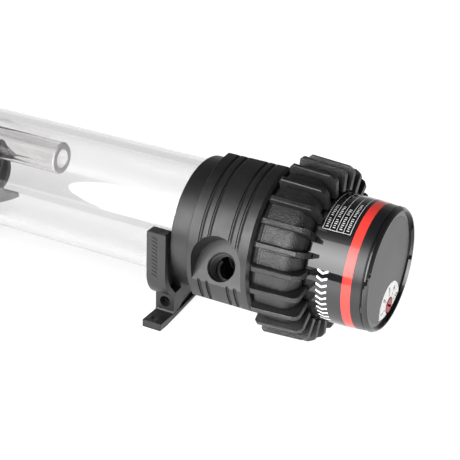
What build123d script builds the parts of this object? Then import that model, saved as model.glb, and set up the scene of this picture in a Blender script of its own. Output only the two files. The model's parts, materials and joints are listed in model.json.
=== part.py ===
from build123d import *
import os
from math import atan2, cos, degrees, pi, radians, sin, sqrt

# Circulation pump with a clear cylindrical reservoir, lying on two clamping brackets.
# Millimetres. X runs along the cylinder axis, from the filling cap to the pump's speed dial, and Z is up.
# The origin is the centre of the rectangle of four foot holes, on the mounting plane.
# Shapes round the cylinder are drawn about the X axis and lifted by AXIS_HEIGHT when they are saved.
# A direction round the cylinder is an angle from -Y, rising towards +Z.

# ---- driving dimensions ----
AXIS_HEIGHT = 43.5          # cylinder axis above the mounting plane
BRACKET_SPACING = 140.0     # between the two rows of foot holes
BODY_X = 88.0               # tube-side face of the pump top
FIT_GAP = 0.15              # radial gap between pieces fixed to each other

TUBE_R = 30.0               # reservoir tube, 60 mm outside, 50 mm inside
TUBE_BORE_R = 25.0
TUBE_LENGTH = 185.0
RETURN_R = 8.0              # inner return tube
RETURN_BORE_R = 4.75
PORT_CIRCLE_R = 13.2        # cap ports lie on this radius
RETURN_END_X = BODY_X - 94.0

PORT_R = 6.58               # G1/4 thread, 13.157 mm major diameter
PORT_CHAMFER = 0.5

COLLAR_R = 32.55            # collar that holds the tube
COLLAR_LENGTH = 12.0
BODY_R = 38.85              # pump top
BODY_LENGTH = 32.45
UPPER_FLAT = 33.0           # flats either side of the outlet, from the cylinder axis
LOWER_FLAT = 35.8
SOCKET_DEPTH_X = BODY_X + 4.0
GROOVE_DEPTH = 0.65
GROOVES = [(5.6, 7.6), (9.9, 11.8), (20.5, 22.5), (24.4, 26.5)]

OUTLET_ANGLE = 31.8         # the outlet faces this far above the horizontal
OUTLET_X = BODY_X + 15.66
OUTLET_FACE = 26.2          # its flat lies this far from the cylinder axis
OUTLET_OFFSET = -20.1       # its centre line passes this far from the cylinder axis
OUTLET_SPOT_R = 12.9
OUTLET_DEPTH = 9.4

CHAMBER_R = 24.0            # impeller chamber
CHAMBER_X = BODY_X + 10.5
NOSE_X = BODY_X + 23.6      # front face of the motor, in the impeller chamber
NOSE_R = 23.6
FLANGE_X = BODY_X + 30.6    # front face of the motor's clamped head
NECK_R = 36.3               # threaded neck under the locking ring
NECK_RELIEF_R = 34.6        # plain wall between the body and the thread
NECK_END_X = BODY_X + 46.8

RING_X = BODY_X + 35.1      # locking ring
RING_END_X = BODY_X + 58.4
RING_RIB_R = 43.5           # ribs, which fall towards the rear
RING_RIB_REAR_R = 42.45
RING_PAD_R = 40.0
RING_FLOOR_R = 39.3
RING_RIBS = 24
RING_FIRST_RIB = 6.5
RING_THREAD_R = 36.8

HEAD_R = 32.6               # wide front part of the motor housing
HEAD_END_X = NECK_END_X
CAN_R = 30.4                # motor can with its gloss sleeve
CAN_BORE_R = 27.6
SLEEVE_END_X = BODY_X + 83.6
TAPER_X = BODY_X + 73.5
TAPER_END_R = 29.5
STRIPE_X = BODY_X + 74.45
STRIPE_WIDTH = 4.3
REAR_X = BODY_X + 86.5      # rear rim of the bezel
DISC_X = BODY_X + 85.15     # outer face of the rear disc
DISC_R = 25.3

DIAL_Y = 4.8                # speed dial on the rear disc
DIAL_Z = -20.95
DIAL_R = 3.8
DIAL_SLOT_ANGLE = -32.0

LABEL_X = BODY_X + 58.9     # data panel let into the sleeve
LABEL_END_X = BODY_X + 72.7
LABEL_START = 48.4          # its lower edge, and the angle it covers
LABEL_SWEEP = 66.0
BOARD_X = BODY_X + 68.0     # front of the control board
GLAND_X = BODY_X + 71.0     # cable gland, on the hidden side of the can
GLAND_ANGLE = 215.0
GLAND_R = 3.2

ROTOR_X = BODY_X + 30.0     # centre of the spherical rotor
ROTOR_R = 15.6
CUP_R = 16.5
CUP_WALL = 0.5
BALL_R = 2.5

CAP_FACE_X = BODY_X - 193.0
CAP_R = 36.0
CAP_LENGTH = 17.5
CAP_COLLAR_LENGTH = 8.5

BRACKET_WIDTH = 10.3
ARM_OUT = 35.25             # outer face of a clamping arm
ARM_TOP = 6.3               # its top, above the cylinder axis
ARM_CURVE_R = 15.0
BOSS_OUT = 26.2             # outer face of the arm's foot block
FOOT_OUT = 39.2
FOOT_THICK = 3.7
PLATE_RISE = 0.116          # slope of the arched underside between the feet
FOOT_HOLE_Y = 34.9
FOOT_HOLE_R = 2.05
CLAMP_Z = -34.6             # clamp screw, below the cylinder axis
CLAMP_HEAD_R = 2.75
CLAMP_HEAD_LENGTH = 2.3
CLAMP_SINK = 3.6            # depth of its head below the arm's face
CLAMP_SCREW_R = 1.5
BRACKET_BORE_R = TUBE_R + 0.05

os.makedirs("parts", exist_ok=True)


# ---- helpers ----
def save(node, shape):
    """Lift a shape from the cylinder axis to its height above the mounting plane and write it."""
    export_step(Pos(0, 0, AXIS_HEIGHT) * shape, f"parts/{node}.step")


def profile(points):
    """A face in the XZ plane from (x, radius) points."""
    return Plane.XZ * make_face(Polyline(*points, close=True))


def turned(points):
    """A solid of revolution about the cylinder axis from (x, radius) points."""
    return revolve(profile(points), axis=Axis.X)


def ring(x0, x1, r_out, r_in):
    return turned([(x0, r_in), (x1, r_in), (x1, r_out), (x0, r_out)])


def rod(x0, x1, r, y=0.0, z=0.0):
    """A cylinder along X."""
    return Plane(origin=(x0, y, z), x_dir=(0, 1, 0), z_dir=(1, 0, 0)) * extrude(Circle(r), x1 - x0)


def around(angle, out):
    """The (y, z) point at a radius and an angle from -Y towards +Z."""
    return -out * cos(radians(angle)), out * sin(radians(angle))


def o_ring(x, r_mid, r_section, y=0.0, z=0.0):
    return Pos(x, y, z) * Rot(0, 90, 0) * Torus(r_mid, r_section)


def grooves(radius, spans):
    """The material to cut for turned grooves, steep in front and sloping behind."""
    front_slope = 0.1
    rear_slope = 1.3
    cuts = []
    for start, end in spans:
        cuts.append(turned([
            (start, radius + 1),
            (start, radius),
            (start + front_slope, radius - GROOVE_DEPTH),
            (end - rear_slope, radius - GROOVE_DEPTH),
            (end, radius),
            (end, radius + 1),
        ]))
    return cuts


# ---- reservoir ----
def reservoir_tube():
    start = SOCKET_DEPTH_X - 0.1 - TUBE_LENGTH
    end = SOCKET_DEPTH_X - 0.1
    edge = 0.5
    return turned([
        (start, TUBE_BORE_R + edge),
        (start + edge, TUBE_BORE_R),
        (end - edge, TUBE_BORE_R),
        (end, TUBE_BORE_R + edge),
        (end, TUBE_R - edge),
        (end - edge, TUBE_R),
        (start + edge, TUBE_R),
        (start, TUBE_R - edge),
    ])


def return_tube(start):
    edge = 0.8
    tube = rod(start, RETURN_END_X, RETURN_R, z=PORT_CIRCLE_R)
    tube = fillet(tube.faces().sort_by(Axis.X)[-1].edges(), edge)
    return tube - rod(start - 1, RETURN_END_X + 1, RETURN_BORE_R, z=PORT_CIRCLE_R)


# ---- pump top ----
def outlet_plane(distance):
    """The plane across the outlet's centre line, facing out, at a distance from the cylinder axis."""
    tilt = radians(OUTLET_ANGLE)
    out = Vector(0, -cos(tilt), sin(tilt))
    side = Vector(0, sin(tilt), cos(tilt))
    centre = Vector(OUTLET_X, 0, 0) + out * distance + side * OUTLET_OFFSET
    return Plane(origin=centre, x_dir=(1, 0, 0), z_dir=out)


def side_flat(distance, sense):
    """The material beyond a flat beside the outlet. It spares the wall round the motor's head."""
    tilt = radians(OUTLET_ANGLE)
    out = Vector(0, sin(tilt), cos(tilt)) * sense
    middle = Vector(BODY_X + BODY_LENGTH / 2, 0, 0) + out * distance
    flat = Plane(origin=middle, x_dir=(1, 0, 0), z_dir=out)
    waste = flat * extrude(Rectangle(BODY_LENGTH + 0.02, 2 * BODY_R), BODY_R)
    return waste - rod(FLANGE_X - 3.0, NECK_END_X, NECK_RELIEF_R)


def pump_top():
    socket_r = TUBE_R + FIT_GAP
    edge = 0.35
    body = turned([
        (BODY_X - COLLAR_LENGTH, 0),
        (BODY_X - COLLAR_LENGTH, COLLAR_R - edge),
        (BODY_X - COLLAR_LENGTH + edge, COLLAR_R),
        (BODY_X, COLLAR_R),
        (BODY_X, BODY_R - 0.7),
        (BODY_X + 0.5, BODY_R),
        (BODY_X + BODY_LENGTH - 1.3, BODY_R),
        (BODY_X + BODY_LENGTH, BODY_R - 1.3),
        (BODY_X + BODY_LENGTH, NECK_RELIEF_R),
        (BODY_X + BODY_LENGTH + 2.8, NECK_RELIEF_R),
        (BODY_X + BODY_LENGTH + 4.0, NECK_R),
        (NECK_END_X - 0.8, NECK_R),
        (NECK_END_X, NECK_R - 0.8),
        (NECK_END_X, 0),
    ])
    cuts = grooves(BODY_R, [(BODY_X + start, BODY_X + end) for start, end in GROOVES])
    cuts.append(side_flat(UPPER_FLAT, 1))
    cuts.append(side_flat(LOWER_FLAT, -1))
    cuts.append(rod(BODY_X - COLLAR_LENGTH - 1, SOCKET_DEPTH_X, socket_r))
    cuts.append(ring(BODY_X + 0.6, BODY_X + 3.2, socket_r + 2.1, socket_r - 1))
    cuts.append(turned([
        (SOCKET_DEPTH_X - 1, 0),
        (SOCKET_DEPTH_X - 1, 17.0),
        (SOCKET_DEPTH_X, 17.0),
        (SOCKET_DEPTH_X + 4.0, 9.0),
        (CHAMBER_X + 1, 9.0),
        (CHAMBER_X + 1, 0),
    ]))
    cuts.append(rod(CHAMBER_X, FLANGE_X + 1, CHAMBER_R))
    cuts.append(rod(FLANGE_X, NECK_END_X + 1, HEAD_R + 0.3))
    cuts.append(ring(FLANGE_X - 1.6, FLANGE_X + 0.1, 31.6, 29.0))
    spot = Circle(OUTLET_SPOT_R)
    spot += Pos(0, -OUTLET_SPOT_R) * Rectangle(2 * OUTLET_SPOT_R, 2 * OUTLET_SPOT_R)
    cuts.append(outlet_plane(OUTLET_FACE) * extrude(spot, 20))
    cuts.append(outlet_plane(OUTLET_FACE - OUTLET_DEPTH) * extrude(Circle(PORT_R), 20))
    cuts.append(outlet_plane(OUTLET_FACE - PORT_CHAMFER) * extrude(Circle(PORT_R), PORT_CHAMFER, taper=-45))
    cuts.append(outlet_plane(0) * extrude(Circle(4.8), OUTLET_FACE))
    for cut in cuts:
        body -= cut
    return body


# ---- filling cap ----
def cap_ports():
    """Centres (y, z) of the cap's three ports; the first one carries the return tube."""
    return [around(90 + 120 * i, PORT_CIRCLE_R) for i in range(3)]


def cap_floor_x():
    return SOCKET_DEPTH_X - 0.1 - TUBE_LENGTH - 0.2


def top_cap():
    end = CAP_FACE_X + CAP_LENGTH
    body = turned([
        (CAP_FACE_X, 0),
        (CAP_FACE_X, CAP_R - 1.6),
        (CAP_FACE_X + 1.6, CAP_R),
        (end - 1.0, CAP_R),
        (end, CAP_R - 1.0),
        (end, COLLAR_R),
        (end + CAP_COLLAR_LENGTH - 1.1, COLLAR_R),
        (end + CAP_COLLAR_LENGTH, COLLAR_R - 1.1),
        (end + CAP_COLLAR_LENGTH, 0),
    ])
    socket_r = TUBE_R + FIT_GAP
    cuts = grooves(CAP_R, [(CAP_FACE_X + 5.0, CAP_FACE_X + 7.0), (CAP_FACE_X + 9.3, CAP_FACE_X + 11.3)])
    cuts.append(rod(cap_floor_x(), end + CAP_COLLAR_LENGTH + 1, socket_r))
    cuts.append(ring(end - 3.4, end - 0.8, socket_r + 2.1, socket_r - 1))
    for y, z in cap_ports():
        cuts.append(rod(CAP_FACE_X - 1, cap_floor_x() + 1, PORT_R, y, z))
        face = Plane(origin=(CAP_FACE_X, y, z), x_dir=(0, 1, 0), z_dir=(1, 0, 0))
        cuts.append(face * extrude(Circle(PORT_R + PORT_CHAMFER), PORT_CHAMFER, taper=45))
    y, z = cap_ports()[0]
    cuts.append(rod(cap_floor_x() - 3.0, cap_floor_x() + 1, RETURN_R + 0.05, y, z))
    for cut in cuts:
        body -= cut
    return body


def port_plug(y, z):
    """A knurled plug with a coin slot, and a pocket under its head for the seal."""
    head = rod(CAP_FACE_X - 4.6, CAP_FACE_X - 0.2, 9.2, y, z)
    head = chamfer(head.faces().sort_by(Axis.X)[0].edges(), 0.6)
    notches = 20
    for i in range(notches):
        ny, nz = around(360 / notches * i, 9.4)
        head -= rod(CAP_FACE_X - 6, CAP_FACE_X, 0.7, y + ny, z + nz)
    stem_r = PORT_R - 0.3
    plug = head + rod(CAP_FACE_X - 1, CAP_FACE_X + 7.5, stem_r, y, z)
    seal_room = rod(CAP_FACE_X - 1.8, CAP_FACE_X - 0.1, 8.6, y, z)
    plug -= seal_room - rod(CAP_FACE_X - 2, CAP_FACE_X, stem_r, y, z)
    plug -= Pos(CAP_FACE_X - 4.6, y, z) * Rot(35, 0, 0) * Box(3.2, 22, 1.8)
    return plug


# ---- locking ring ----
def rounded_shoulder(r_outer, r_inner, x_end):
    """Points from a cylinder of r_outer round a quarter circle to a face at x_end."""
    radius = r_outer - r_inner
    steps = 12
    centre_x = x_end - radius
    return [
        (centre_x + radius * sin(pi / 2 * i / steps), r_inner + radius * cos(pi / 2 * i / steps))
        for i in range(steps + 1)
    ]


def locking_ring():
    web_x = HEAD_END_X + 0.9
    hub_r = CAN_R + 0.6
    base = turned(
        [(RING_X, RING_THREAD_R), (RING_X, RING_FLOOR_R - 1.0), (RING_X + 1.2, RING_FLOOR_R)]
        + rounded_shoulder(RING_FLOOR_R, hub_r + 0.4, RING_END_X - 2.8)
        + [(RING_END_X - 2.8, hub_r), (web_x, hub_r), (web_x, RING_THREAD_R)]
    )
    rib_side = profile([
        (RING_X, hub_r + 0.4),
        (RING_X, RING_RIB_R - 1.2),
        (RING_X + 1.2, RING_RIB_R),
        (RING_END_X - 3.2, RING_RIB_REAR_R),
        (RING_END_X - 0.9, RING_RIB_REAR_R - 1.2),
        (RING_END_X, RING_RIB_REAR_R - 2.6),
        (RING_END_X, hub_r + 0.4),
    ])
    half_top = 1.25
    half_base = 1.65
    bevel = 0.4
    root = hub_r - 4.0 - RING_RIB_R
    rib_end = Plane.YZ * make_face(Polyline(
        (-half_base, root),
        (-half_top, -bevel),
        (-half_top + bevel, 0.01),
        (half_top - bevel, 0.01),
        (half_top, -bevel),
        (half_base, root),
        close=True,
    ))
    fall = degrees(atan2(RING_RIB_R - RING_RIB_REAR_R, RING_END_X - RING_X - 4.4))
    rib_bar = extrude(rib_end, RING_END_X - RING_X + 2)
    rib_bar = Pos(RING_X + 1.2, 0, RING_RIB_R) * Rot(0, fall, 0) * Pos(-2.2, 0, 0) * rib_bar
    rib = extrude(rib_side, 3, both=True) & rib_bar
    rib -= rod(RING_X - 1, web_x, RING_THREAD_R + 1.0)
    pad_face = profile(
        [(RING_X + 2.2, RING_FLOOR_R - 1), (RING_X + 2.2, RING_PAD_R - 0.3), (RING_X + 2.5, RING_PAD_R)]
        + rounded_shoulder(RING_PAD_R, hub_r + 1.0, RING_END_X - 2.3)
        + [(RING_END_X - 4.0, hub_r + 1.0), (RING_END_X - 12.0, RING_FLOOR_R - 1)]
    )
    pad_angle = 8.2
    pad = Rot(-pad_angle / 2, 0, 0) * revolve(pad_face, axis=Axis.X, revolution_arc=pad_angle)
    pitch = 360 / RING_RIBS
    teeth = [Rot(RING_FIRST_RIB + pitch * i, 0, 0) * rib for i in range(RING_RIBS)]
    teeth += [Rot(RING_FIRST_RIB + pitch * (i + 0.5), 0, 0) * pad for i in range(RING_RIBS)]
    return base + teeth


# ---- motor ----
def sleeve_radius(x):
    """Outer radius of the gloss sleeve, which narrows a little towards the rear."""
    if x <= TAPER_X:
        return CAN_R
    return CAN_R + (TAPER_END_R - CAN_R) * (x - TAPER_X) / (SLEEVE_END_X - TAPER_X)


def gland_cut(radius):
    y, z = around(GLAND_ANGLE, 1)
    axis = Plane(origin=(GLAND_X, y * 24, z * 24), x_dir=(1, 0, 0), z_dir=(0, y, z))
    return axis * extrude(Circle(radius), 12)


def motor_housing():
    shell_r = CAN_R - 1.15
    body = turned([
        (NOSE_X, CUP_R + CUP_WALL + 0.1),
        (NOSE_X, NOSE_R),
        (FLANGE_X, NOSE_R),
        (FLANGE_X, HEAD_R - 0.5),
        (FLANGE_X + 0.5, HEAD_R),
        (HEAD_END_X, HEAD_R),
        (HEAD_END_X, shell_r),
        (SLEEVE_END_X, shell_r),
        (SLEEVE_END_X, CAN_BORE_R),
        (FLANGE_X + 4.5, CAN_BORE_R),
        (FLANGE_X + 4.5, CUP_R + CUP_WALL + 0.1),
    ])
    body -= ring(NOSE_X - 1, NOSE_X + CUP_WALL + 0.05, NOSE_R - 1.5, 10)
    return body - gland_cut(GLAND_R)


def can_sleeve():
    inner = CAN_R - 1.15
    body = turned([
        (HEAD_END_X, inner),
        (HEAD_END_X, CAN_R),
        (TAPER_X, CAN_R),
        (SLEEVE_END_X - 0.4, sleeve_radius(SLEEVE_END_X)),
        (SLEEVE_END_X, sleeve_radius(SLEEVE_END_X) - 0.4),
        (SLEEVE_END_X, inner),
    ])
    body -= stripe_shape(1.0)
    body -= label_shape(1.0)
    return body - gland_cut(GLAND_R)


def stripe_shape(extra=0.0):
    end = STRIPE_X + STRIPE_WIDTH
    depth = 0.4
    return turned([
        (STRIPE_X, sleeve_radius(STRIPE_X) - depth),
        (end, sleeve_radius(end) - depth),
        (end, sleeve_radius(end) + extra),
        (STRIPE_X, sleeve_radius(STRIPE_X) + extra),
    ])


def label_shape(extra=0.0):
    """The data panel: a curved plate let into the sleeve, over a quarter turn on its upper side."""
    depth = 0.3
    face = profile([
        (LABEL_X, CAN_R - depth),
        (LABEL_END_X, CAN_R - depth),
        (LABEL_END_X, CAN_R + extra),
        (LABEL_X, CAN_R + extra),
    ])
    panel = revolve(face, axis=Axis.X, revolution_arc=LABEL_SWEEP)
    return Rot(90 - LABEL_START - LABEL_SWEEP, 0, 0) * panel


def rear_bezel():
    body = turned([
        (BODY_X + 78.5, 26.4),
        (BODY_X + 78.5, CAN_BORE_R - 0.1),
        (SLEEVE_END_X + 0.1, CAN_BORE_R - 0.1),
        (SLEEVE_END_X + 0.1, 28.7),
        (SLEEVE_END_X + 0.5, 28.7),
        (SLEEVE_END_X + 0.5, 29.6),
        (SLEEVE_END_X + 0.7, 29.8),
        (SLEEVE_END_X + 1.3, 29.75),
        (REAR_X - 0.7, 29.2),
        (REAR_X, 28.5),
        (REAR_X, 27.9),
        (DISC_X, DISC_R + 2.3),
        (DISC_X, DISC_R + 0.1),
        (DISC_X - 1.6, DISC_R + 0.1),
        (DISC_X - 1.6, 24.0),
        (DISC_X - 2.8, 24.0),
        (DISC_X - 2.8, 26.4),
    ])
    for angle in (-14, 106, 226):
        y, z = around(angle, 29.3)
        catch = fillet(Box(0.9, 3.2, 1.6).edges(), 0.35)
        body += Pos(SLEEVE_END_X + 0.55, y, z) * Rot(90 - angle, 0, 0) * catch
    return body - rod(BODY_X + 78, DISC_X, DIAL_R + 0.4, DIAL_Y, DIAL_Z)


def rear_disc():
    disc = rod(DISC_X - 1.5, DISC_X, DISC_R)
    return disc - rod(DISC_X - 2, DISC_X + 1, DIAL_R + 0.4, DIAL_Y, DIAL_Z)


def dial_sticker():
    thick = 0.12
    sticker = rod(DISC_X, DISC_X + thick, 11.9, DIAL_Y, DIAL_Z) & rod(DISC_X, DISC_X + thick, DISC_R - 0.5)
    return sticker - rod(DISC_X - 1, DISC_X + 1, DIAL_R + 0.4, DIAL_Y, DIAL_Z)


def speed_dial():
    knob = rod(BODY_X + 78.6, DISC_X + 0.3, DIAL_R, DIAL_Y, DIAL_Z)
    knob = chamfer(knob.faces().sort_by(Axis.X)[-1].edges(), 0.3)
    knob += rod(BODY_X + 71.5, BODY_X + 79.0, 2.0, DIAL_Y, DIAL_Z)
    slot = Pos(DISC_X + 0.3, DIAL_Y, DIAL_Z) * Rot(DIAL_SLOT_ANGLE, 0, 0) * Box(2.4, 5.6, 1.1)
    return knob - slot


def potentiometer():
    body = Pos(BODY_X + 73.6, DIAL_Y, DIAL_Z) * Box(8.0, 8.0, 8.0)
    return body - rod(BODY_X + 71.2, BODY_X + 79, 2.05, DIAL_Y, DIAL_Z)


def control_board():
    board = rod(BOARD_X, BOARD_X + 1.6, CAN_BORE_R - 0.5)
    y, z = around(GLAND_ANGLE, CAN_BORE_R)
    return board - rod(BOARD_X - 1, BOARD_X + 3, 4.0, y, z)


def board_components():
    """Capacitors, driver chips, a coil and a plug header on the rear of the board."""
    face = BOARD_X + 1.6
    parts = [rod(face, face + 8.0, 3.9, y, z) for y, z in ((-14, 12), (-5, 17.5))]
    chips = ((10, 8, 9, 9, 1.2), (-10, -4, 6, 7, 1.6), (-10, -13, 6, 7, 1.6), (12, -5, 5, 6, 1.2))
    for y, z, wide, tall, high in chips:
        parts.append(Pos(face + high / 2, y, z) * Box(high, wide, tall))
    parts.append(rod(face, face + 4.2, 4.5, 3.0, -5.5) - rod(face + 3.2, face + 5, 2.2, 3.0, -5.5))
    parts.append(Pos(face + 2.5, 9, 19) * (Box(5.0, 10.0, 5.0) - Pos(1, 0, 0) * Box(4.0, 8.6, 3.6)))
    return Compound(parts)


def stator_core():
    core = ring(BODY_X + 36, BODY_X + 58, CAN_BORE_R - 0.1, 23.4)
    for i in range(6):
        pole = Pos(BODY_X + 46, 0, 20.8) * Box(12, 6.0, 5.8)
        core += Rot(60 * i, 0, 0) * pole
    return core - rod(BODY_X + 35, BODY_X + 59, CUP_R + CUP_WALL + 0.4)


def stator_coils():
    coil = fillet(Box(19.0, 12.6, 3.6).edges().filter_by(Axis.Z), 1.5) - Box(12.4, 6.4, 6.0)
    coil = Pos(BODY_X + 46, 0, 20.5) * coil
    return Compound([Rot(60 * i, 0, 0) * coil for i in range(6)])


def rotor_cup():
    """A thin bowl that keeps the liquid out of the motor: a rim, a short wall and a half sphere."""
    rim_r = NOSE_R - 1.6
    outer_r = CUP_R + CUP_WALL
    rim_end = NOSE_X + CUP_WALL
    steps = 16
    angles = [pi / 2 * i / steps for i in range(steps + 1)]
    outer = [(ROTOR_X + outer_r * sin(angle), outer_r * cos(angle)) for angle in angles]
    inner = [(ROTOR_X + CUP_R * sin(angle), CUP_R * cos(angle)) for angle in reversed(angles)]
    rim = [(NOSE_X, CUP_R), (NOSE_X, rim_r), (rim_end, rim_r), (rim_end, outer_r)]
    return turned(rim + outer + inner)


def bearing_post():
    return rod(ROTOR_X + BALL_R, ROTOR_X + CUP_R - 0.1, 1.6)


def bearing_ball():
    return Pos(ROTOR_X, 0, 0) * Sphere(BALL_R)


def rotor_magnet():
    magnet = Pos(ROTOR_X, 0, 0) * Sphere(ROTOR_R)
    magnet -= rod(ROTOR_X - 20, ROTOR_X - 5.0, 20)
    magnet -= Pos(ROTOR_X, 0, 0) * Sphere(BALL_R + 0.08)
    return magnet - turned([(ROTOR_X, 0), (ROTOR_X, 2.5), (ROTOR_X + 20, 9.0), (ROTOR_X + 20, 0)])


def impeller():
    shroud_x = BODY_X + 19.6
    radius = 19.5
    back = ring(shroud_x, shroud_x + 1.6, radius, 0) + rod(shroud_x, ROTOR_X - 5.0, 9.5)
    hub = turned([(BODY_X + 13.0, 0), (BODY_X + 13.4, 2.0), (shroud_x, 5.0), (shroud_x, 0)])
    front = ring(BODY_X + 12.0, BODY_X + 13.2, radius, 8.4)
    blade = ring(BODY_X + 13.1, shroud_x + 0.1, radius - 0.1, 5.0)
    blade &= rod(BODY_X + 13, shroud_x + 1, 12.05, 0, 12.0) - rod(BODY_X + 12, shroud_x + 2, 10.95, 0, 12.0)
    blade &= Pos(BODY_X + 16, 15, 0) * Box(20, 30, 60)
    for i in range(6):
        back += Rot(60 * i, 0, 0) * blade
    return back + hub + front


def cable_gland():
    y, z = around(GLAND_ANGLE, 1)
    axis = Plane(origin=(GLAND_X, y * 26.0, z * 26.0), x_dir=(1, 0, 0), z_dir=(0, y, z))
    boot = extrude(Circle(GLAND_R - 0.05), 5.4)
    boot += Pos(0, 0, 4.9) * extrude(Circle(GLAND_R), 4.6, taper=8)
    return axis * (boot - extrude(Circle(1.9), 12))


# ---- brackets ----
def arm_outline():
    """One arm, seen along X: out is away from the cylinder, up is +Z. It is drawn on the -Y side."""
    curve_centre_out = ARM_OUT - ARM_CURVE_R
    curve_top = -16.5
    join_drop = sqrt(ARM_CURVE_R**2 - (BOSS_OUT - curve_centre_out) ** 2)
    middle = radians(22)
    middle_point = (-(curve_centre_out + ARM_CURVE_R * cos(middle)), curve_top - ARM_CURVE_R * sin(middle))
    bottom = -AXIS_HEIGHT + FOOT_THICK
    cove_out = 0.45
    cove_up = 0.7
    inner_out = 16.2
    edges = [
        Line((-28.0, ARM_TOP), (-ARM_OUT, ARM_TOP)),
        Line((-ARM_OUT, ARM_TOP), (-ARM_OUT, curve_top)),
        ThreePointArc((-ARM_OUT, curve_top), middle_point, (-BOSS_OUT, curve_top - join_drop)),
        Line((-BOSS_OUT, curve_top - join_drop), (-BOSS_OUT, bottom + cove_up)),
        Line((-BOSS_OUT, bottom + cove_up), (-BOSS_OUT - cove_out, bottom)),
        Line((-BOSS_OUT - cove_out, bottom), (-22.4, bottom)),
        Line((-22.4, bottom), (-inner_out, bottom + 3.6)),
        Line((-inner_out, bottom + 3.6), (-inner_out, -20.0)),
        Line((-inner_out, -20.0), (-28.0, ARM_TOP)),
    ]
    return make_face(Wire(edges))


def pocket_outline():
    """The pocket in an arm's side, with a V-shaped floor."""
    wall = 2.8
    return make_face(Polyline(
        (-ARM_OUT + wall, -3.0),
        (-ARM_OUT + wall, -17.5),
        (-29.9, -23.5),
        (-25.1, -29.0),
        (-19.4, -28.6),
        (-20.5, -25.7),
        (-28.0, -8.0),
        close=True,
    ))


def across(face, width):
    """Extrude an outline in Y and Z evenly about x = 0."""
    return extrude(Plane.YZ * face, width / 2, both=True)


def grip_bars():
    """A row of low slanting bars on the flat of an arm."""
    count = 11
    pitch = 1.95
    top_z = 3.0
    slant = 20
    raised = 0.3
    bar = Rot(0, slant, 0) * Box(3.0, 2 * raised, 0.8)
    return [Pos(-1.0, -ARM_OUT, top_z - pitch * i) * bar for i in range(count)]


def clamp_arm():
    arm = across(arm_outline(), BRACKET_WIDTH)
    arm = chamfer(arm.edges().group_by(Axis.Z)[-1], 0.35)
    arm += grip_bars()
    arm -= rod(-10, 10, BRACKET_BORE_R)
    pocket = across(pocket_outline(), BRACKET_WIDTH) - across(pocket_outline(), 1.6)
    arm -= pocket - rod(-10, 10, TUBE_R + 1.4)
    hole = Plane(origin=(0, -BOSS_OUT, CLAMP_Z), x_dir=(1, 0, 0), z_dir=(0, 1, 0))
    arm -= hole * extrude(Circle(CLAMP_SCREW_R + 0.15), BOSS_OUT)
    sink = CLAMP_SINK + CLAMP_HEAD_LENGTH
    arm -= hole * Pos(0, 0, -2) * extrude(Circle(CLAMP_HEAD_R + 0.1), sink + 2)
    relief = Pos(0, -22.9, -AXIS_HEIGHT + FOOT_THICK) * Box(20, 1.0, 1.6)
    return arm - relief


def underside_arch():
    """The material below the plate between the feet, where its underside rises to the middle."""
    flat_out = FOOT_OUT - 6.6
    bottom = -AXIS_HEIGHT
    crown = bottom + PLATE_RISE * (flat_out - 5.0)
    return make_face(Polyline(
        (-flat_out, bottom - 1),
        (-flat_out, bottom),
        (-5.0, crown),
        (5.0, crown),
        (flat_out, bottom),
        (flat_out, bottom - 1),
        close=True,
    ))


def bracket_base():
    top = -AXIS_HEIGHT + FOOT_THICK
    plate = extrude(RectangleRounded(BRACKET_WIDTH, 2 * FOOT_OUT, 0.7), FOOT_THICK)
    plate = chamfer(plate.faces().sort_by(Axis.Z)[-1].edges(), 0.3)
    plate = Pos(0, 0, -AXIS_HEIGHT) * plate
    half = 15.6
    saddle = make_face(Polyline(
        (-half - 5.6, top - 0.5),
        (-half - 5.6, top + 0.1),
        (-half, top + 3.3),
        (-half, -20.0),
        (half, -20.0),
        (half, top + 3.3),
        (half + 5.6, top + 0.1),
        (half + 5.6, top - 0.5),
        close=True,
    ))
    gap = make_face(Polyline(
        (-half - 0.6, top + 0.1),
        (-9.0, top + 2.8),
        (9.0, top + 2.8),
        (half + 0.6, top + 0.1),
        (6.0, top + 0.75),
        (-6.0, top + 0.75),
        close=True,
    ))
    web = make_face(Polyline(
        (-half - 4.0, top - 1.0),
        (-half - 0.6, top + 0.1),
        (-6.0, top + 0.75),
        (6.0, top + 0.75),
        (half + 0.6, top + 0.1),
        (half + 4.0, top - 1.0),
        close=True,
    ))
    base = plate + across(saddle, BRACKET_WIDTH - 2.4) + across(web, BRACKET_WIDTH)
    base -= rod(-10, 10, BRACKET_BORE_R)
    base -= across(gap, BRACKET_WIDTH + 1)
    base -= across(underside_arch(), BRACKET_WIDTH + 1)
    screw = Plane(origin=(0, -20, CLAMP_Z), x_dir=(1, 0, 0), z_dir=(0, 1, 0))
    base -= screw * extrude(Circle(CLAMP_SCREW_R + 0.15), 40)
    for side in (-1, 1):
        base -= Pos(0, side * FOOT_HOLE_Y, -AXIS_HEIGHT - 1) * extrude(Circle(FOOT_HOLE_R), FOOT_THICK + 2)
    return base


def clamp_screw():
    """A socket-head screw along Y, its head sunk in the front arm."""
    head_y = -BOSS_OUT + CLAMP_SINK
    axis = Plane(origin=(0, head_y, CLAMP_Z), x_dir=(1, 0, 0), z_dir=(0, 1, 0))
    head = extrude(Circle(CLAMP_HEAD_R - 0.05), CLAMP_HEAD_LENGTH)
    head += extrude(Circle(CLAMP_SCREW_R), -2 * head_y - 0.3)
    return axis * (head - extrude(RegularPolygon(1.45, 6), 1.6))


def clamp_nut():
    start_y = BOSS_OUT - CLAMP_SINK - CLAMP_HEAD_LENGTH
    axis = Plane(origin=(0, start_y, CLAMP_Z), x_dir=(1, 0, 0), z_dir=(0, 1, 0))
    nut = extrude(Circle(CLAMP_HEAD_R - 0.05), CLAMP_HEAD_LENGTH)
    nut -= extrude(Circle(CLAMP_SCREW_R + 0.02), CLAMP_HEAD_LENGTH + 1)
    return axis * nut


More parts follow.
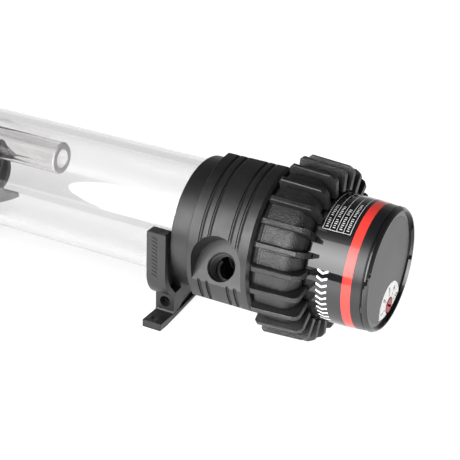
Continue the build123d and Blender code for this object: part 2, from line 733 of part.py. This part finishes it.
def save_brackets():
    base = bracket_base()
    front_arm = clamp_arm()
    rear_arm = mirror(front_arm, about=Plane.XZ)
    places = {"pump_end": BRACKET_SPACING / 2, "cap_end": -BRACKET_SPACING / 2}
    for end, x in places.items():
        save(f"{end}_bracket_base", Pos(x, 0, 0) * base)
        save(f"{end}_front_arm", Pos(x, 0, 0) * front_arm)
        save(f"{end}_rear_arm", Pos(x, 0, 0) * rear_arm)
    save("clamp_screws", Compound([Pos(x, 0, 0) * clamp_screw() for x in places.values()]))
    save("clamp_nuts", Compound([Pos(x, 0, 0) * clamp_nut() for x in places.values()]))


def main():
    save("reservoir_tube", reservoir_tube())
    save("return_tube", return_tube(cap_floor_x() - 2.9))
    save("pump_top", pump_top())
    save("tube_seal_pump_end", o_ring(BODY_X + 1.9, TUBE_R + 1.15, 1.05))
    save("tube_seal_cap_end", o_ring(CAP_FACE_X + CAP_LENGTH - 2.1, TUBE_R + 1.15, 1.05))
    save("top_cap", top_cap())
    for name, (y, z) in zip(("fill", "spare"), cap_ports()[1:]):
        save(f"{name}_plug", port_plug(y, z))
        save(f"{name}_plug_seal", o_ring(CAP_FACE_X - 0.85, 7.45, 0.8, y, z))
    save("flange_seal", o_ring(FLANGE_X - 0.8, 30.3, 0.75))
    save("motor_housing", motor_housing())
    save("can_sleeve", can_sleeve())
    save("red_stripe", stripe_shape())
    save("data_label", label_shape())
    save("rear_bezel", rear_bezel())
    save("rear_disc", rear_disc())
    save("dial_sticker", dial_sticker())
    save("speed_dial", speed_dial())
    save("potentiometer", potentiometer())
    save("control_board", control_board())
    save("board_components", board_components())
    save("stator_core", stator_core())
    save("stator_coils", stator_coils())
    save("rotor_cup", rotor_cup())
    save("bearing_post", bearing_post())
    save("bearing_ball", bearing_ball())
    save("rotor_magnet", rotor_magnet())
    save("impeller", impeller())
    save("slip_washer", ring(HEAD_END_X + 0.02, HEAD_END_X + 0.82, HEAD_R - 0.3, CAN_R + 0.4))
    save("locking_ring", locking_ring())
    save("cable_gland", cable_gland())
    save_brackets()


main()
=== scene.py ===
import json
from math import ceil, cos, pi, radians, sin

import bmesh
import bpy
from mathutils import Matrix, Vector


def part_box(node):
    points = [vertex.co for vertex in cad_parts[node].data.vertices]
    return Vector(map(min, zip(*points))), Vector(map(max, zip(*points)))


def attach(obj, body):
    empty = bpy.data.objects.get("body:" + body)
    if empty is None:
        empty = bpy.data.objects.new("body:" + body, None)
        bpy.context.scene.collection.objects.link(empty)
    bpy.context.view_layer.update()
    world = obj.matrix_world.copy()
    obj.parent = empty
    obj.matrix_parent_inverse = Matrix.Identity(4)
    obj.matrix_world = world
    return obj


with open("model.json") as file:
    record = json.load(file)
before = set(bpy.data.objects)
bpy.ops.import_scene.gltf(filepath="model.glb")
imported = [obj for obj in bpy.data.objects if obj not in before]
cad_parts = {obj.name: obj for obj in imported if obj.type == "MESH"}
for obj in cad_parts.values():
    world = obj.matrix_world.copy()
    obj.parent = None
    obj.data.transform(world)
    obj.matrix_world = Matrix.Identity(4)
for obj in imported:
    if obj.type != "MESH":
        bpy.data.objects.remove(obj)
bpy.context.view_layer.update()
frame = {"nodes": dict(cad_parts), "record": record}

# Lengths are metres. X runs along the cylinder axis towards the speed dial and Z is up.
# A direction round the cylinder is an angle from -Y, rising towards +Z.
MM = 0.001
AXIS_Z = sum(corner.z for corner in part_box("reservoir_tube")) / 2
COLLAR_LENGTH = 12.0 * MM
BODY_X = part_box("pump_top")[0].x + COLLAR_LENGTH
CAN_R = (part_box("can_sleeve")[1].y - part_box("can_sleeve")[0].y) / 2
CAMERA_AZIMUTH = 27.13
CAMERA_ELEVATION = 26.41
CAMERA_ROLL = 2.23
CAMERA_DISTANCE = 0.618
CAMERA_LENS = 99.6
CAMERA_RIGHT = 2.26 * MM    # the point it looks at, from the centre of the pump top's face
CAMERA_DOWN = 1.90 * MM
SOFTBOX_RADIANCE = 9.0
FLOOR_HALF = 5.0
FLOOR_Z = -0.2 * MM
CARD_HALF = 2.0
CARD_REAR_Y = -0.205
CARD_Z = 0.3 * MM
PORT_PITCH = 1.337 * MM     # G1/4 thread
PORT_R = 6.58 * MM
PORT_CREST_R = 5.85 * MM


# ---- camera, stage and light ----
def directions(azimuth, elevation):
    """Right, up and backward vectors of a level camera that looks at the object from these angles."""
    az, el = radians(azimuth), radians(elevation)
    back = Vector((sin(az) * cos(el), -cos(az) * cos(el), sin(el)))
    right = Vector((0, 0, 1)).cross(back).normalized()
    return right, back.cross(right), back


def make_camera():
    right, up, back = directions(CAMERA_AZIMUTH, CAMERA_ELEVATION)
    roll = radians(CAMERA_ROLL)
    right, up = right * cos(roll) + up * sin(roll), up * cos(roll) - right * sin(roll)
    target = Vector((BODY_X, 0, AXIS_Z)) + right * CAMERA_RIGHT - up * CAMERA_DOWN
    data = bpy.data.cameras.new("camera")
    data.lens = CAMERA_LENS
    data.sensor_width = 36
    data.clip_start = 0.01
    camera = bpy.data.objects.new("camera", data)
    turn = Matrix((right, up, back)).transposed().to_4x4()
    camera.matrix_world = Matrix.Translation(target + back * CAMERA_DISTANCE) @ turn
    bpy.context.scene.collection.objects.link(camera)
    bpy.context.scene.camera = camera


def aimed_at(place, target):
    """A transform at a place whose -Z axis points at the target."""
    turn = (Vector(target) - Vector(place)).to_track_quat("-Z", "Y").to_matrix().to_4x4()
    return Matrix.Translation(place) @ turn


def make_sheet(name, half, rear_y, z, material):
    """A flat rectangle of the stage: from -half to half along x, and from -half to rear_y along y."""
    mesh = bpy.data.meshes.new(name)
    corners = [(-half, -half, z), (half, -half, z), (half, rear_y, z), (-half, rear_y, z)]
    mesh.from_pydata(corners, [], [(0, 1, 2, 3)])
    mesh.materials.append(material)
    sheet = bpy.data.objects.new(name, mesh)
    bpy.context.scene.collection.objects.link(sheet)
    return sheet


def make_stage():
    """A glowing table, and a black card before it that shows only in reflections."""
    make_sheet("floor", FLOOR_HALF, FLOOR_HALF, FLOOR_Z, floor_material())
    card = make_sheet("black_card", CARD_HALF, CARD_REAR_Y, CARD_Z, card_material())
    card.visible_camera = False
    card.visible_diffuse = False
    card.visible_transmission = False
    card.visible_shadow = False


def math_node(tree, operation, first, second):
    """A Math node; each input is a socket to link or a number."""
    node = tree.nodes.new("ShaderNodeMath")
    node.operation = operation
    for value, socket in zip((first, second), node.inputs):
        if isinstance(value, (int, float)):
            socket.default_value = value
        else:
            tree.links.new(value, socket)
    return node.outputs["Value"]


def set_stops(ramp, stops):
    """Give a colour ramp grey stops from (position, value) pairs."""
    elements = ramp.color_ramp.elements
    elements.remove(elements[1])
    elements[0].position = stops[0][0]
    for position, _ in stops[1:]:
        elements.new(position)
    for element, (_, value) in zip(elements, stops):
        element.color = (value, value, value, 1)


def make_world():
    """A dim room, lighter near the horizon, inside a white surround.

    The surround shows where the camera looks straight at it or through the clear tubes. Paths that have
    bounced off another surface first, then crossed both walls of the reservoir, see the dim room.
    """
    world = bpy.data.worlds.new("studio")
    bpy.context.scene.world = world
    world.use_nodes = True
    tree = world.node_tree
    place = tree.nodes.new("ShaderNodeTexCoord")
    split = tree.nodes.new("ShaderNodeSeparateXYZ")
    ramp = tree.nodes.new("ShaderNodeValToRGB")
    tree.links.new(place.outputs["Generated"], split.inputs["Vector"])
    tree.links.new(split.outputs["Z"], ramp.inputs["Fac"])
    set_stops(ramp, ((0.0, 0.50), (0.25, 0.40), (0.5, 0.18), (0.75, 0.05), (1.0, 0.03)))
    dim = tree.nodes["Background"]
    tree.links.new(ramp.outputs["Color"], dim.inputs["Color"])
    white = tree.nodes.new("ShaderNodeBackground")
    white.inputs["Strength"].default_value = 1.0
    path = tree.nodes.new("ShaderNodeLightPath").outputs
    both_walls = 4
    surplus = math_node(tree, "SUBTRACT", path["Transmission Depth"], both_walls)
    off_count = math_node(tree, "ABSOLUTE", surplus, 0)
    other_path = math_node(tree, "GREATER_THAN", off_count, 1)
    no_gloss = math_node(tree, "LESS_THAN", path["Glossy Depth"], 0.5)
    no_diffuse = math_node(tree, "LESS_THAN", path["Diffuse Depth"], 0.5)
    straight = math_node(tree, "MULTIPLY", no_diffuse, math_node(tree, "MAXIMUM", no_gloss, other_path))
    through = math_node(tree, "MULTIPLY", path["Is Transmission Ray"], straight)
    mix = tree.nodes.new("ShaderNodeMixShader")
    tree.links.new(math_node(tree, "MAXIMUM", path["Is Camera Ray"], through), mix.inputs["Fac"])
    tree.links.new(dim.outputs["Background"], mix.inputs[1])
    tree.links.new(white.outputs["Background"], mix.inputs[2])
    tree.links.new(mix.outputs["Shader"], tree.nodes["World Output"].inputs["Surface"])


def make_softbox(name, place, target, width, height, radiance, stops):
    """An area light whose brightness changes from its lower edge to its upper one."""
    data = bpy.data.lights.new(name, "AREA")
    data.shape = "RECTANGLE"
    data.size = width
    data.size_y = height
    data.energy = radiance * pi * width * height
    data.use_nodes = True
    tree = data.node_tree
    split = tree.nodes.new("ShaderNodeSeparateXYZ")
    geometry = tree.nodes.new("ShaderNodeNewGeometry")
    tree.links.new(geometry.outputs["Parametric"], split.inputs["Vector"])
    ramp = tree.nodes.new("ShaderNodeValToRGB")
    tree.links.new(split.outputs["Y"], ramp.inputs["Fac"])
    set_stops(ramp, stops)
    tree.links.new(ramp.outputs["Color"], tree.nodes["Emission"].inputs["Color"])
    light = bpy.data.objects.new(name, data)
    light.matrix_world = aimed_at(place, target)
    bpy.context.scene.collection.objects.link(light)


def make_light():
    """One large softbox before the object and to its left, tilted down, with a faint glow above it."""
    bpy.context.scene.view_settings.view_transform = "Standard"
    make_world()
    tilt = radians(25)
    distance = 0.9
    width, height, glow = 0.94, 0.9, 0.45
    centre = Vector((-0.07, -0.03, 0.055))
    up = Vector((0, sin(tilt), cos(tilt)))
    shift = up * glow / 2
    place = centre + Vector((0, -cos(tilt), sin(tilt))) * distance
    edge = height / (height + glow)
    panel = ((0.0, 0.70), (0.16, 0.78), (0.3, 0.89), (0.5, 1.0), (0.7, 0.86), (0.86, 0.66), (0.99, 0.50))
    fade = [(edge, 0.16), (0.8, 0.06), (1.0, 0.0)]
    stops = [(position * edge, value) for position, value in panel] + fade
    place += shift
    centre += shift
    make_softbox("softbox", place, centre, width, height + glow, SOFTBOX_RADIANCE, stops)


# ---- materials ----
class Shader:
    """A new material with a Principled shader, and short ways to wire textures into it."""

    def __init__(self, name):
        self.material = bpy.data.materials.new(name)
        self.material.use_nodes = True
        self.tree = self.material.node_tree
        self.surface = self.tree.nodes["Principled BSDF"]
        self.place = self.tree.nodes.new("ShaderNodeTexCoord").outputs["Object"]

    def set(self, **values):
        for name, value in values.items():
            self.surface.inputs[name.replace("_", " ")].default_value = value

    def link(self, output, socket):
        self.tree.links.new(output, socket)

    def noise(self, size, detail=2.0, stretch=(1, 1, 1)):
        """Noise whose grains are about size metres across."""
        mapping = self.tree.nodes.new("ShaderNodeMapping")
        mapping.inputs["Scale"].default_value = stretch
        self.link(self.place, mapping.inputs["Vector"])
        noise = self.tree.nodes.new("ShaderNodeTexNoise")
        noise.inputs["Scale"].default_value = 1 / size
        noise.inputs["Detail"].default_value = detail
        self.link(mapping.outputs["Vector"], noise.inputs["Vector"])
        return noise.outputs["Fac"]

    def bands(self, size, axis, distortion=0.0):
        """Parallel waves of the given period along an axis."""
        wave = self.tree.nodes.new("ShaderNodeTexWave")
        wave.bands_direction = axis
        wave.inputs["Scale"].default_value = 2 * pi / size / 20
        wave.inputs["Distortion"].default_value = distortion
        self.link(self.place, wave.inputs["Vector"])
        return wave.outputs["Fac"]

    def ramp(self, factor, low, high, start=0.3, end=0.7):
        """Colours or grey values between low and high as the factor goes from start to end."""
        ramp = self.tree.nodes.new("ShaderNodeValToRGB")
        ramp.color_ramp.elements[0].position = start
        ramp.color_ramp.elements[1].position = end
        for element, value in zip(ramp.color_ramp.elements, (low, high)):
            element.color = (*value, 1) if isinstance(value, tuple) else (value, value, value, 1)
        self.link(factor, ramp.inputs["Fac"])
        return ramp.outputs["Color"]

    def between(self, low, high):
        """1 where the object's X lies between two places in metres, and 0 elsewhere."""
        split = self.tree.nodes.new("ShaderNodeSeparateXYZ")
        self.link(self.place, split.inputs["Vector"])
        above = math_node(self.tree, "GREATER_THAN", split.outputs["X"], low)
        below = math_node(self.tree, "LESS_THAN", split.outputs["X"], high)
        return math_node(self.tree, "MULTIPLY", above, below)

    def slope(self, value, span, results):
        """A number that goes evenly between two results while the value crosses a span."""
        shift = self.tree.nodes.new("ShaderNodeMapRange")
        self.link(value, shift.inputs["Value"])
        shift.inputs["From Min"].default_value, shift.inputs["From Max"].default_value = span
        shift.inputs["To Min"].default_value, shift.inputs["To Max"].default_value = results
        return shift.outputs["Result"]

    def blend(self, factor, plain, marked, socket):
        """Set a socket to one value where the factor is 0 and to another where it is 1."""
        shift = self.tree.nodes.new("ShaderNodeMapRange")
        self.link(factor, shift.inputs["Value"])
        for value, name in ((plain, "To Min"), (marked, "To Max")):
            if isinstance(value, (int, float)):
                shift.inputs[name].default_value = value
            else:
                self.link(value, shift.inputs[name])
        self.link(shift.outputs["Result"], self.surface.inputs[socket])

    def colour(self, factor, low, high, start=0.3, end=0.7):
        self.link(self.ramp(factor, low, high, start, end), self.surface.inputs["Base Color"])

    def roughness(self, factor, low, high, start=0.3, end=0.7):
        self.link(self.ramp(factor, low, high, start, end), self.surface.inputs["Roughness"])

    def bump(self, *layers):
        """Bumps from (factor, height in metres) pairs."""
        normal = None
        for factor, height in layers:
            bump = self.tree.nodes.new("ShaderNodeBump")
            bump.inputs["Strength"].default_value = 1.0
            bump.inputs["Distance"].default_value = height
            self.link(factor, bump.inputs["Height"])
            if normal:
                self.link(normal, bump.inputs["Normal"])
            normal = bump.outputs["Normal"]
        self.link(normal, self.surface.inputs["Normal"])


def floor_material():
    """A white table lit from inside. Its glow is painted light: brighter towards the front as a painted
    pool of the softbox's light, and a little dimmer under the tube as painted shade.
    """
    shader = Shader("pale_floor")
    shader.set(Roughness=0.9, Specular_IOR_Level=0.0)
    shader.colour(shader.noise(0.3), (0.22, 0.22, 0.22), (0.24, 0.24, 0.24))
    split = shader.tree.nodes.new("ShaderNodeSeparateXYZ")
    shader.link(shader.place, split.inputs["Vector"])
    # painted pool of light: the glow falls from 2.9 in front to 0.79 near the object, which leaves
    # painted shade under the tube
    front = shader.slope(split.outputs["Y"], span=(-0.11, -0.02), results=(2.9, 0.79))
    # behind and beside the object the glow climbs back, so the painted shade stays under the tube
    behind = shader.slope(split.outputs["Y"], span=(0.05, 0.11), results=(0.0, 0.21))
    beside = shader.slope(split.outputs["X"], span=(0.05, 0.09), results=(0.0, 0.21))
    glow = math_node(shader.tree, "ADD", front, math_node(shader.tree, "MAXIMUM", behind, beside))
    shader.set(Emission_Color=(1, 1, 1, 1))
    shader.link(glow, shader.surface.inputs["Emission Strength"])
    return shader.material


def card_material():
    shader = Shader("black_card")
    shader.set(Roughness=1.0, Specular_IOR_Level=0.0)
    shader.colour(shader.noise(0.1), (0.01, 0.01, 0.01), (0.012, 0.012, 0.012))
    return shader.material


def moulded_plastic(name, grey, rough, grain, depth, ior=1.5, spread=0.05):
    """Black plastic with a fine spark-eroded skin: drifts of tone, a grain and a finer tooth on it."""
    shader = Shader(name)
    shader.set(IOR=ior)
    shader.colour(shader.noise(0.018), (grey * 0.8,) * 3, (grey * 1.25,) * 3)
    shader.roughness(shader.noise(0.006, 4), rough - spread, rough + spread)
    shader.bump((shader.noise(grain, 3), depth), (shader.noise(grain * 0.3), depth * 0.25))
    return shader.material


def gloss_plastic(name, low, high, rough=0.05, ior=1.55, satin=None):
    """Polished plastic with a faint waviness, and traces of wiping in its shine.

    Between the two X places given as satin its finish is duller.
    """
    shader = Shader(name)
    shader.set(IOR=ior)
    shader.colour(shader.noise(0.02), low, high)
    wiped = shader.ramp(shader.noise(0.009, 5, (1, 0.3, 0.3)), rough * 0.7, rough * 1.6)
    shader.link(wiped, shader.surface.inputs["Roughness"])
    if satin:
        dull = shader.between(*satin)
        shader.blend(dull, wiped, 0.32, "Roughness")
        shader.blend(dull, 0.5, 0.38, "Specular IOR Level")
    shader.bump((shader.noise(0.012), 0.004 * MM))
    return shader.material


def clear_acrylic(name="clear_acrylic", sawn=None):
    """Clear acrylic; between the two X places given as sawn it is the white of a cut end."""
    shader = Shader(name)
    shader.set(IOR=1.49, Transmission_Weight=1.0)
    shader.colour(shader.noise(0.05), (0.905, 0.90, 0.90), (0.925, 0.92, 0.92))
    haze = shader.ramp(shader.noise(0.01, 3), 0.0, 0.015)
    shader.link(haze, shader.surface.inputs["Roughness"])
    if sawn:
        cut = shader.between(*sawn)
        shader.blend(cut, haze, 0.6, "Roughness")
        shader.blend(cut, 1.0, 0.25, "Transmission Weight")
    return shader.material


def rubber():
    shader = Shader("seal_rubber")
    shader.colour(shader.noise(0.004), (0.012,) * 3, (0.022,) * 3)
    shader.roughness(shader.noise(0.002, 4), 0.55, 0.7)
    shader.bump((shader.noise(0.3 * MM, 3), 0.01 * MM))
    return shader.material


def metal(name, low, high, rough, grain=(1, 8, 8)):
    """Drawn or turned metal: brushed lines along the grain, with a little wear in tone."""
    shader = Shader(name)
    shader.set(Metallic=1.0)
    shader.colour(shader.noise(0.003, 3), low, high)
    shader.roughness(shader.noise(0.002, 4, grain), rough * 0.7, rough * 1.4)
    shader.bump((shader.noise(0.5 * MM, 2, grain), 0.004 * MM))
    return shader.material


def laminations():
    shader = Shader("lamination_steel")
    shader.set(Metallic=1.0)
    shader.colour(shader.bands(0.5 * MM, "X"), (0.2, 0.2, 0.21), (0.45, 0.45, 0.47), 0.1, 0.4)
    shader.roughness(shader.noise(0.003, 3), 0.35, 0.5)
    shader.bump((shader.bands(0.5 * MM, "X"), 0.03 * MM))
    return shader.material


def winding():
    shader = Shader("copper_wire")
    shader.set(Metallic=1.0)
    shader.colour(shader.noise(0.002, 3), (0.50, 0.18, 0.07), (0.72, 0.31, 0.14))
    shader.roughness(shader.noise(0.001, 3), 0.2, 0.35)
    shader.bump((shader.bands(0.45 * MM, "DIAGONAL", 0.3), 0.12 * MM))
    return shader.material


def circuit_board():
    shader = Shader("board_green")
    tracks = shader.noise(0.9 * MM, 0.0, (1, 1, 0.25))
    shader.colour(tracks, (0.010, 0.075, 0.030), (0.02, 0.14, 0.055), 0.48, 0.52)
    shader.roughness(shader.noise(0.004), 0.25, 0.4)
    shader.bump((tracks, 0.02 * MM))
    return shader.material


def coated_paper():
    shader = Shader("sticker_white")
    shader.colour(shader.noise(0.004, 4), (0.92, 0.92, 0.91), (0.96, 0.96, 0.95))
    shader.roughness(shader.noise(0.001, 3), 0.4, 0.5)
    shader.bump((shader.noise(0.15 * MM, 3), 0.003 * MM))
    return shader.material


def printed(name, low, high, rough=0.35):
    """Screen-printed ink, a little uneven."""
    shader = Shader(name)
    shader.colour(shader.noise(0.6 * MM, 3), low, high)
    shader.roughness(shader.noise(0.4 * MM, 3), rough * 0.85, rough * 1.15)
    shader.bump((shader.noise(0.1 * MM, 2), 0.002 * MM))
    return shader.material


def make_materials():
    """A finished material for each slot in the record, and one for the return tube with its sawn end."""
    return_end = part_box("return_tube")[1].x
    sawn_depth = 0.85 * MM
    sawn_end = (return_end - sawn_depth, return_end + MM)
    satin_strip = (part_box("red_stripe")[1].x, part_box("can_sleeve")[1].x + 0.3 * MM)
    black = ((0.006, 0.006, 0.007), (0.010, 0.010, 0.011))
    grey = ((0.008, 0.008, 0.009), (0.013, 0.013, 0.014))
    bright_red = ((0.62, 0.034, 0.027), (0.70, 0.046, 0.036))
    dark_red = ((0.30, 0.004, 0.005), (0.37, 0.006, 0.008))
    ceramic = ((0.75, 0.74, 0.70), (0.82, 0.81, 0.78))
    return {
        "clear_acrylic": clear_acrylic(),
        "return_acrylic": clear_acrylic("return_acrylic", sawn_end),
        "satin_black": moulded_plastic("satin_black", 0.009, 0.40, 0.25 * MM, 0.010 * MM),
        "seal_rubber": rubber(),
        "housing_black": moulded_plastic("housing_black", 0.010, 0.5, 0.4 * MM, 0.02 * MM),
        "gloss_black": gloss_plastic("gloss_black", *black, satin=satin_strip),
        "stripe_red": gloss_plastic("stripe_red", *bright_red, 0.10, 1.47),
        "label_black": gloss_plastic("label_black", *black, 0.07),
        "disc_grey": gloss_plastic("disc_grey", *grey, 0.16, 1.38),
        "sticker_white": coated_paper(),
        "dial_red": gloss_plastic("dial_red", *dark_red, 0.22, 1.36),
        "component_dark": moulded_plastic("component_dark", 0.03, 0.45, 0.3 * MM, 0.01 * MM),
        "board_green": circuit_board(),
        "lamination_steel": laminations(),
        "copper_wire": winding(),
        "stainless": metal("stainless", (0.55, 0.55, 0.56), (0.68, 0.68, 0.68), 0.25),
        "bearing_ceramic": gloss_plastic("bearing_ceramic", *ceramic, 0.08, 1.9),
        "magnet_ferrite": moulded_plastic("magnet_ferrite", 0.07, 0.5, 0.6 * MM, 0.02 * MM, 1.9),
        "impeller_plastic": moulded_plastic("impeller_plastic", 0.03, 0.4, 0.5 * MM, 0.01 * MM),
        "washer_white": moulded_plastic("washer_white", 0.62, 0.45, 0.5 * MM, 0.01 * MM),
        "ring_black": moulded_plastic("ring_black", 0.009, 0.38, 0.8 * MM, 0.24 * MM, spread=0.1),
        "bracket_black": moulded_plastic("bracket_black", 0.009, 0.42, 0.28 * MM, 0.014 * MM),
        "screw_black": metal("screw_black", (0.03, 0.03, 0.032), (0.05, 0.05, 0.052), 0.4),
    }


def dress_frame(materials):
    for part in frame["record"]["subparts"]:
        node = frame["nodes"][part["node"]]
        finish = "return_acrylic" if part["node"] == "return_tube" else part["material_slot"]
        for slot in node.material_slots:
            slot.material = materials[finish]


# ---- mesh pieces ----
def add_piece(name, bm, material, body, smooth=False):
    """Turn a bmesh into a piece that rides on a body and takes the material it is given."""
    bmesh.ops.recalc_face_normals(bm, faces=bm.faces)
    mesh = bpy.data.meshes.new(name)
    bm.to_mesh(mesh)
    bm.free()
    for polygon in mesh.polygons:
        polygon.use_smooth = smooth
    mesh.materials.append(material)
    piece = bpy.data.objects.new(name, mesh)
    bpy.context.scene.collection.objects.link(piece)
    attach(piece, body)
    return piece


def join_rings(bm, rings):
    """Close a bar round a row of rings of four vertices."""
    for ring, following in zip(rings, rings[1:]):
        for k in range(4):
            bm.faces.new((ring[k], ring[(k + 1) % 4], following[(k + 1) % 4], following[k]))
    bm.faces.new(rings[0])
    bm.faces.new(rings[-1])


def thread(bm, start, axis, length, pitch, root_r, crest_r):
    """A helical ridge with a flat crest, from root_r to crest_r about an axis."""
    axis = axis.normalized()
    side = axis.orthogonal().normalized()
    other = axis.cross(side)
    steps = 40
    count = int(length / pitch * steps)
    root_half = 0.38 * pitch
    crest_half = 0.07 * pitch
    least = 0.02
    rings = []
    for i in range(count + 1):
        angle = 2 * pi * i / steps
        fade = max(least, min(1.0, i / steps * 2, (count - i) / steps * 2))
        out = side * cos(angle) + other * sin(angle)
        along = pitch * i / steps
        crest = root_r + (crest_r - root_r) * fade
        points = ((root_r, -root_half), (crest, -crest_half), (crest, crest_half), (root_r, root_half))
        rings.append([bm.verts.new(start + axis * (along + d) + out * r) for r, d in points])
    join_rings(bm, rings)


def on_cylinder(x, angle, r):
    return Vector((x, -r * cos(radians(angle)), AXIS_Z + r * sin(radians(angle))))


def printed_bar(bm, x_low, x_high, angle_low, angle_high):
    """A thin raised bar on the can between two x places and two angles."""
    steps = max(1, ceil(abs(angle_high - angle_low) / 2))
    low_r = CAN_R - 0.02 * MM
    high_r = CAN_R + 0.03 * MM
    rings = []
    for i in range(steps + 1):
        t = i / steps
        angle = angle_low + (angle_high - angle_low) * t
        places = ((x_low, low_r), (x_low, high_r), (x_high, high_r), (x_high, low_r))
        rings.append([bm.verts.new(on_cylinder(x, angle, r)) for x, r in places])
    join_rings(bm, rings)


def make_label_print(material):
    """The data panel's ruled frame, with plain bars where a label has its words."""
    low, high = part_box("data_label")
    bm = bmesh.new()
    line = 0.25 * MM
    start_angle = 49.2
    end_angle = 113.0
    left = low.x + 0.2 * MM
    right = high.x - 0.2 * MM
    rows = 4
    row_height = (right - left) / rows
    for i in range(rows + 1):
        x = left + row_height * i
        printed_bar(bm, x - line / 2, x + line / 2, start_angle, end_angle)
    half = 0.24
    for angle in (start_angle, end_angle):
        printed_bar(bm, left - line / 2, right + line / 2, angle - half, angle + half)
    tall = 0.62 * MM
    shorter = 0.3 * MM
    margin = 2.4
    bar_width = 0.85
    bar_pitch = 2.05
    word_gap = 1.6
    rows_of_words = ((5, 7), (5, 7), (7, 4), (7, 9))
    for i, words in enumerate(rows_of_words):
        x = left + row_height * (i + 0.5)
        angle = start_angle + margin
        for count in words:
            for k in range(count):
                top = tall - shorter if k % 3 == 1 else tall
                printed_bar(bm, x - tall, x + top, angle, angle + bar_width)
                angle += bar_pitch
            angle += word_gap
    add_piece("label_print", bm, material, "root")


def make_flow_marks(material):
    """A row of chevrons round the can that shows which way the liquid turns."""
    bm = bmesh.new()
    low_x = BODY_X + 62.2 * MM
    high_x = BODY_X + 67.4 * MM
    middle_x = (low_x + high_x) / 2
    first_angle = 13.2
    pitch = 6.3
    thick = 1.9
    lean = 2.6
    steps = 4
    count = 10
    halves = ((low_x, middle_x, 0, -lean), (middle_x, high_x, -lean, 0))
    for i in range(count):
        angle = first_angle - pitch * i
        for start, end, first, last in halves:
            for k in range(steps):
                left = start + (end - start) * k / steps
                right = start + (end - start) * (k + 1) / steps
                near = angle + first + (last - first) * (k + 0.5) / steps
                printed_bar(bm, left, right, near, near + thick)
    add_piece("flow_marks", bm, material, "root")


def make_threads(materials):
    """Ridges in the two open ports, on the neck under the locking ring and on the plugs."""
    black = materials["satin_black"]
    run_out = 0.9 * MM
    bite = 0.02 * MM
    mounts = {mount["name"]: mount for mount in frame["record"]["mounts"]}
    for name in ("outlet_port", "inlet_port"):
        place = Vector(mounts[name]["pos_m"])
        axis = Vector(mounts[name]["axis"])
        length = mounts[name]["dims"]["length_mm"] * MM
        bm = bmesh.new()
        start = place - axis * (length / 2 - run_out)
        thread(bm, start, axis, length - 2 * run_out, PORT_PITCH, PORT_R + bite, PORT_CREST_R)
        add_piece(f"{name}_thread", bm, black, "root")
    neck_start = Vector((BODY_X + 38.6 * MM, 0, AXIS_Z))
    neck_length = 6.4 * MM
    neck_pitch = 3.0 * MM
    neck_root_r = 36.25 * MM
    neck_crest_r = 36.65 * MM
    bm = bmesh.new()
    thread(bm, neck_start, Vector((1, 0, 0)), neck_length, neck_pitch, neck_root_r, neck_crest_r)
    add_piece("neck_thread", bm, black, "root", smooth=True)
    plug_run_out = 0.6 * MM
    plug_length = 5.8 * MM
    plug_root_r = 6.26 * MM
    plug_crest_r = 6.5 * MM
    for name in ("fill", "spare"):
        low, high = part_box(f"{name}_plug")
        bm = bmesh.new()
        start = Vector((high.x - plug_run_out, (low.y + high.y) / 2, (low.z + high.z) / 2))
        thread(bm, start, Vector((-1, 0, 0)), plug_length, PORT_PITCH, plug_root_r, plug_crest_r)
        add_piece(f"{name}_plug_thread", bm, black, f"{name}_plug")


def add_tick(bm, place, out, across, thick):
    """A short radial bar, raised by its thickness above and sunk by it below the place's plane."""
    length = 1.5 * MM
    half = 0.28 * MM
    lift = Vector((thick, 0, 0))
    ends = ((0, -1), (1, -1), (1, 1), (0, 1))
    corners = [place + out * a * length + across * b * half for a, b in ends]
    join_rings(bm, [[bm.verts.new(corner + side) for corner in corners] for side in (-lift, lift)])


def add_digit(bm, digit, transform, thick):
    """One figure of the scale, from Blender's own font."""
    curve = bpy.data.curves.new("digit", "FONT")
    curve.body = str(digit)
    curve.size = 3.9 * MM
    curve.align_x = "CENTER"
    curve.align_y = "CENTER"
    curve.extrude = thick
    curve.offset = 0.12 * MM
    text = bpy.data.objects.new("digit", curve)
    bpy.context.scene.collection.objects.link(text)
    bpy.context.view_layer.update()
    mesh = bpy.data.meshes.new_from_object(text.evaluated_get(bpy.context.evaluated_depsgraph_get()))
    mesh.transform(transform)
    bm.from_mesh(mesh)
    bpy.data.objects.remove(text)
    bpy.data.curves.remove(curve)
    bpy.data.meshes.remove(mesh)


def make_dial_marks(material):
    """The numbers 1 to 5 round the speed dial, with a tick mark inside each."""
    low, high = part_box("speed_dial")
    centre = (low + high) / 2
    middle = Vector((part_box("dial_sticker")[1].x, centre.y, centre.z))
    thick = 0.01 * MM
    tick_start = 5.0 * MM
    digit_r = 8.6 * MM
    first_angle = -4.0
    step = 43.0
    bm = bmesh.new()
    for i in range(5):
        angle = radians(first_angle + step * i)
        out = Vector((0, -cos(angle), sin(angle)))
        across = Vector((0, sin(angle), cos(angle)))
        add_tick(bm, middle + out * tick_start, out, across, thick)
        turn = Matrix((across, out, Vector((1, 0, 0)))).transposed().to_4x4()
        add_digit(bm, i + 1, Matrix.Translation(middle + out * digit_r) @ turn, thick)
    add_piece("dial_marks", bm, material, "root")


materials = make_materials()
make_camera()
make_stage()
make_light()
dress_frame(materials)
white_ink = printed("white_ink", (0.85, 0.85, 0.85), (0.92, 0.92, 0.92))
grey_ink = printed("grey_ink", (0.48, 0.48, 0.48), (0.58, 0.58, 0.58))
black_ink = printed("black_ink", (0.01, 0.01, 0.01), (0.02, 0.02, 0.02))
make_label_print(grey_ink)
make_flow_marks(white_ink)
make_threads(materials)
make_dial_marks(black_ink)
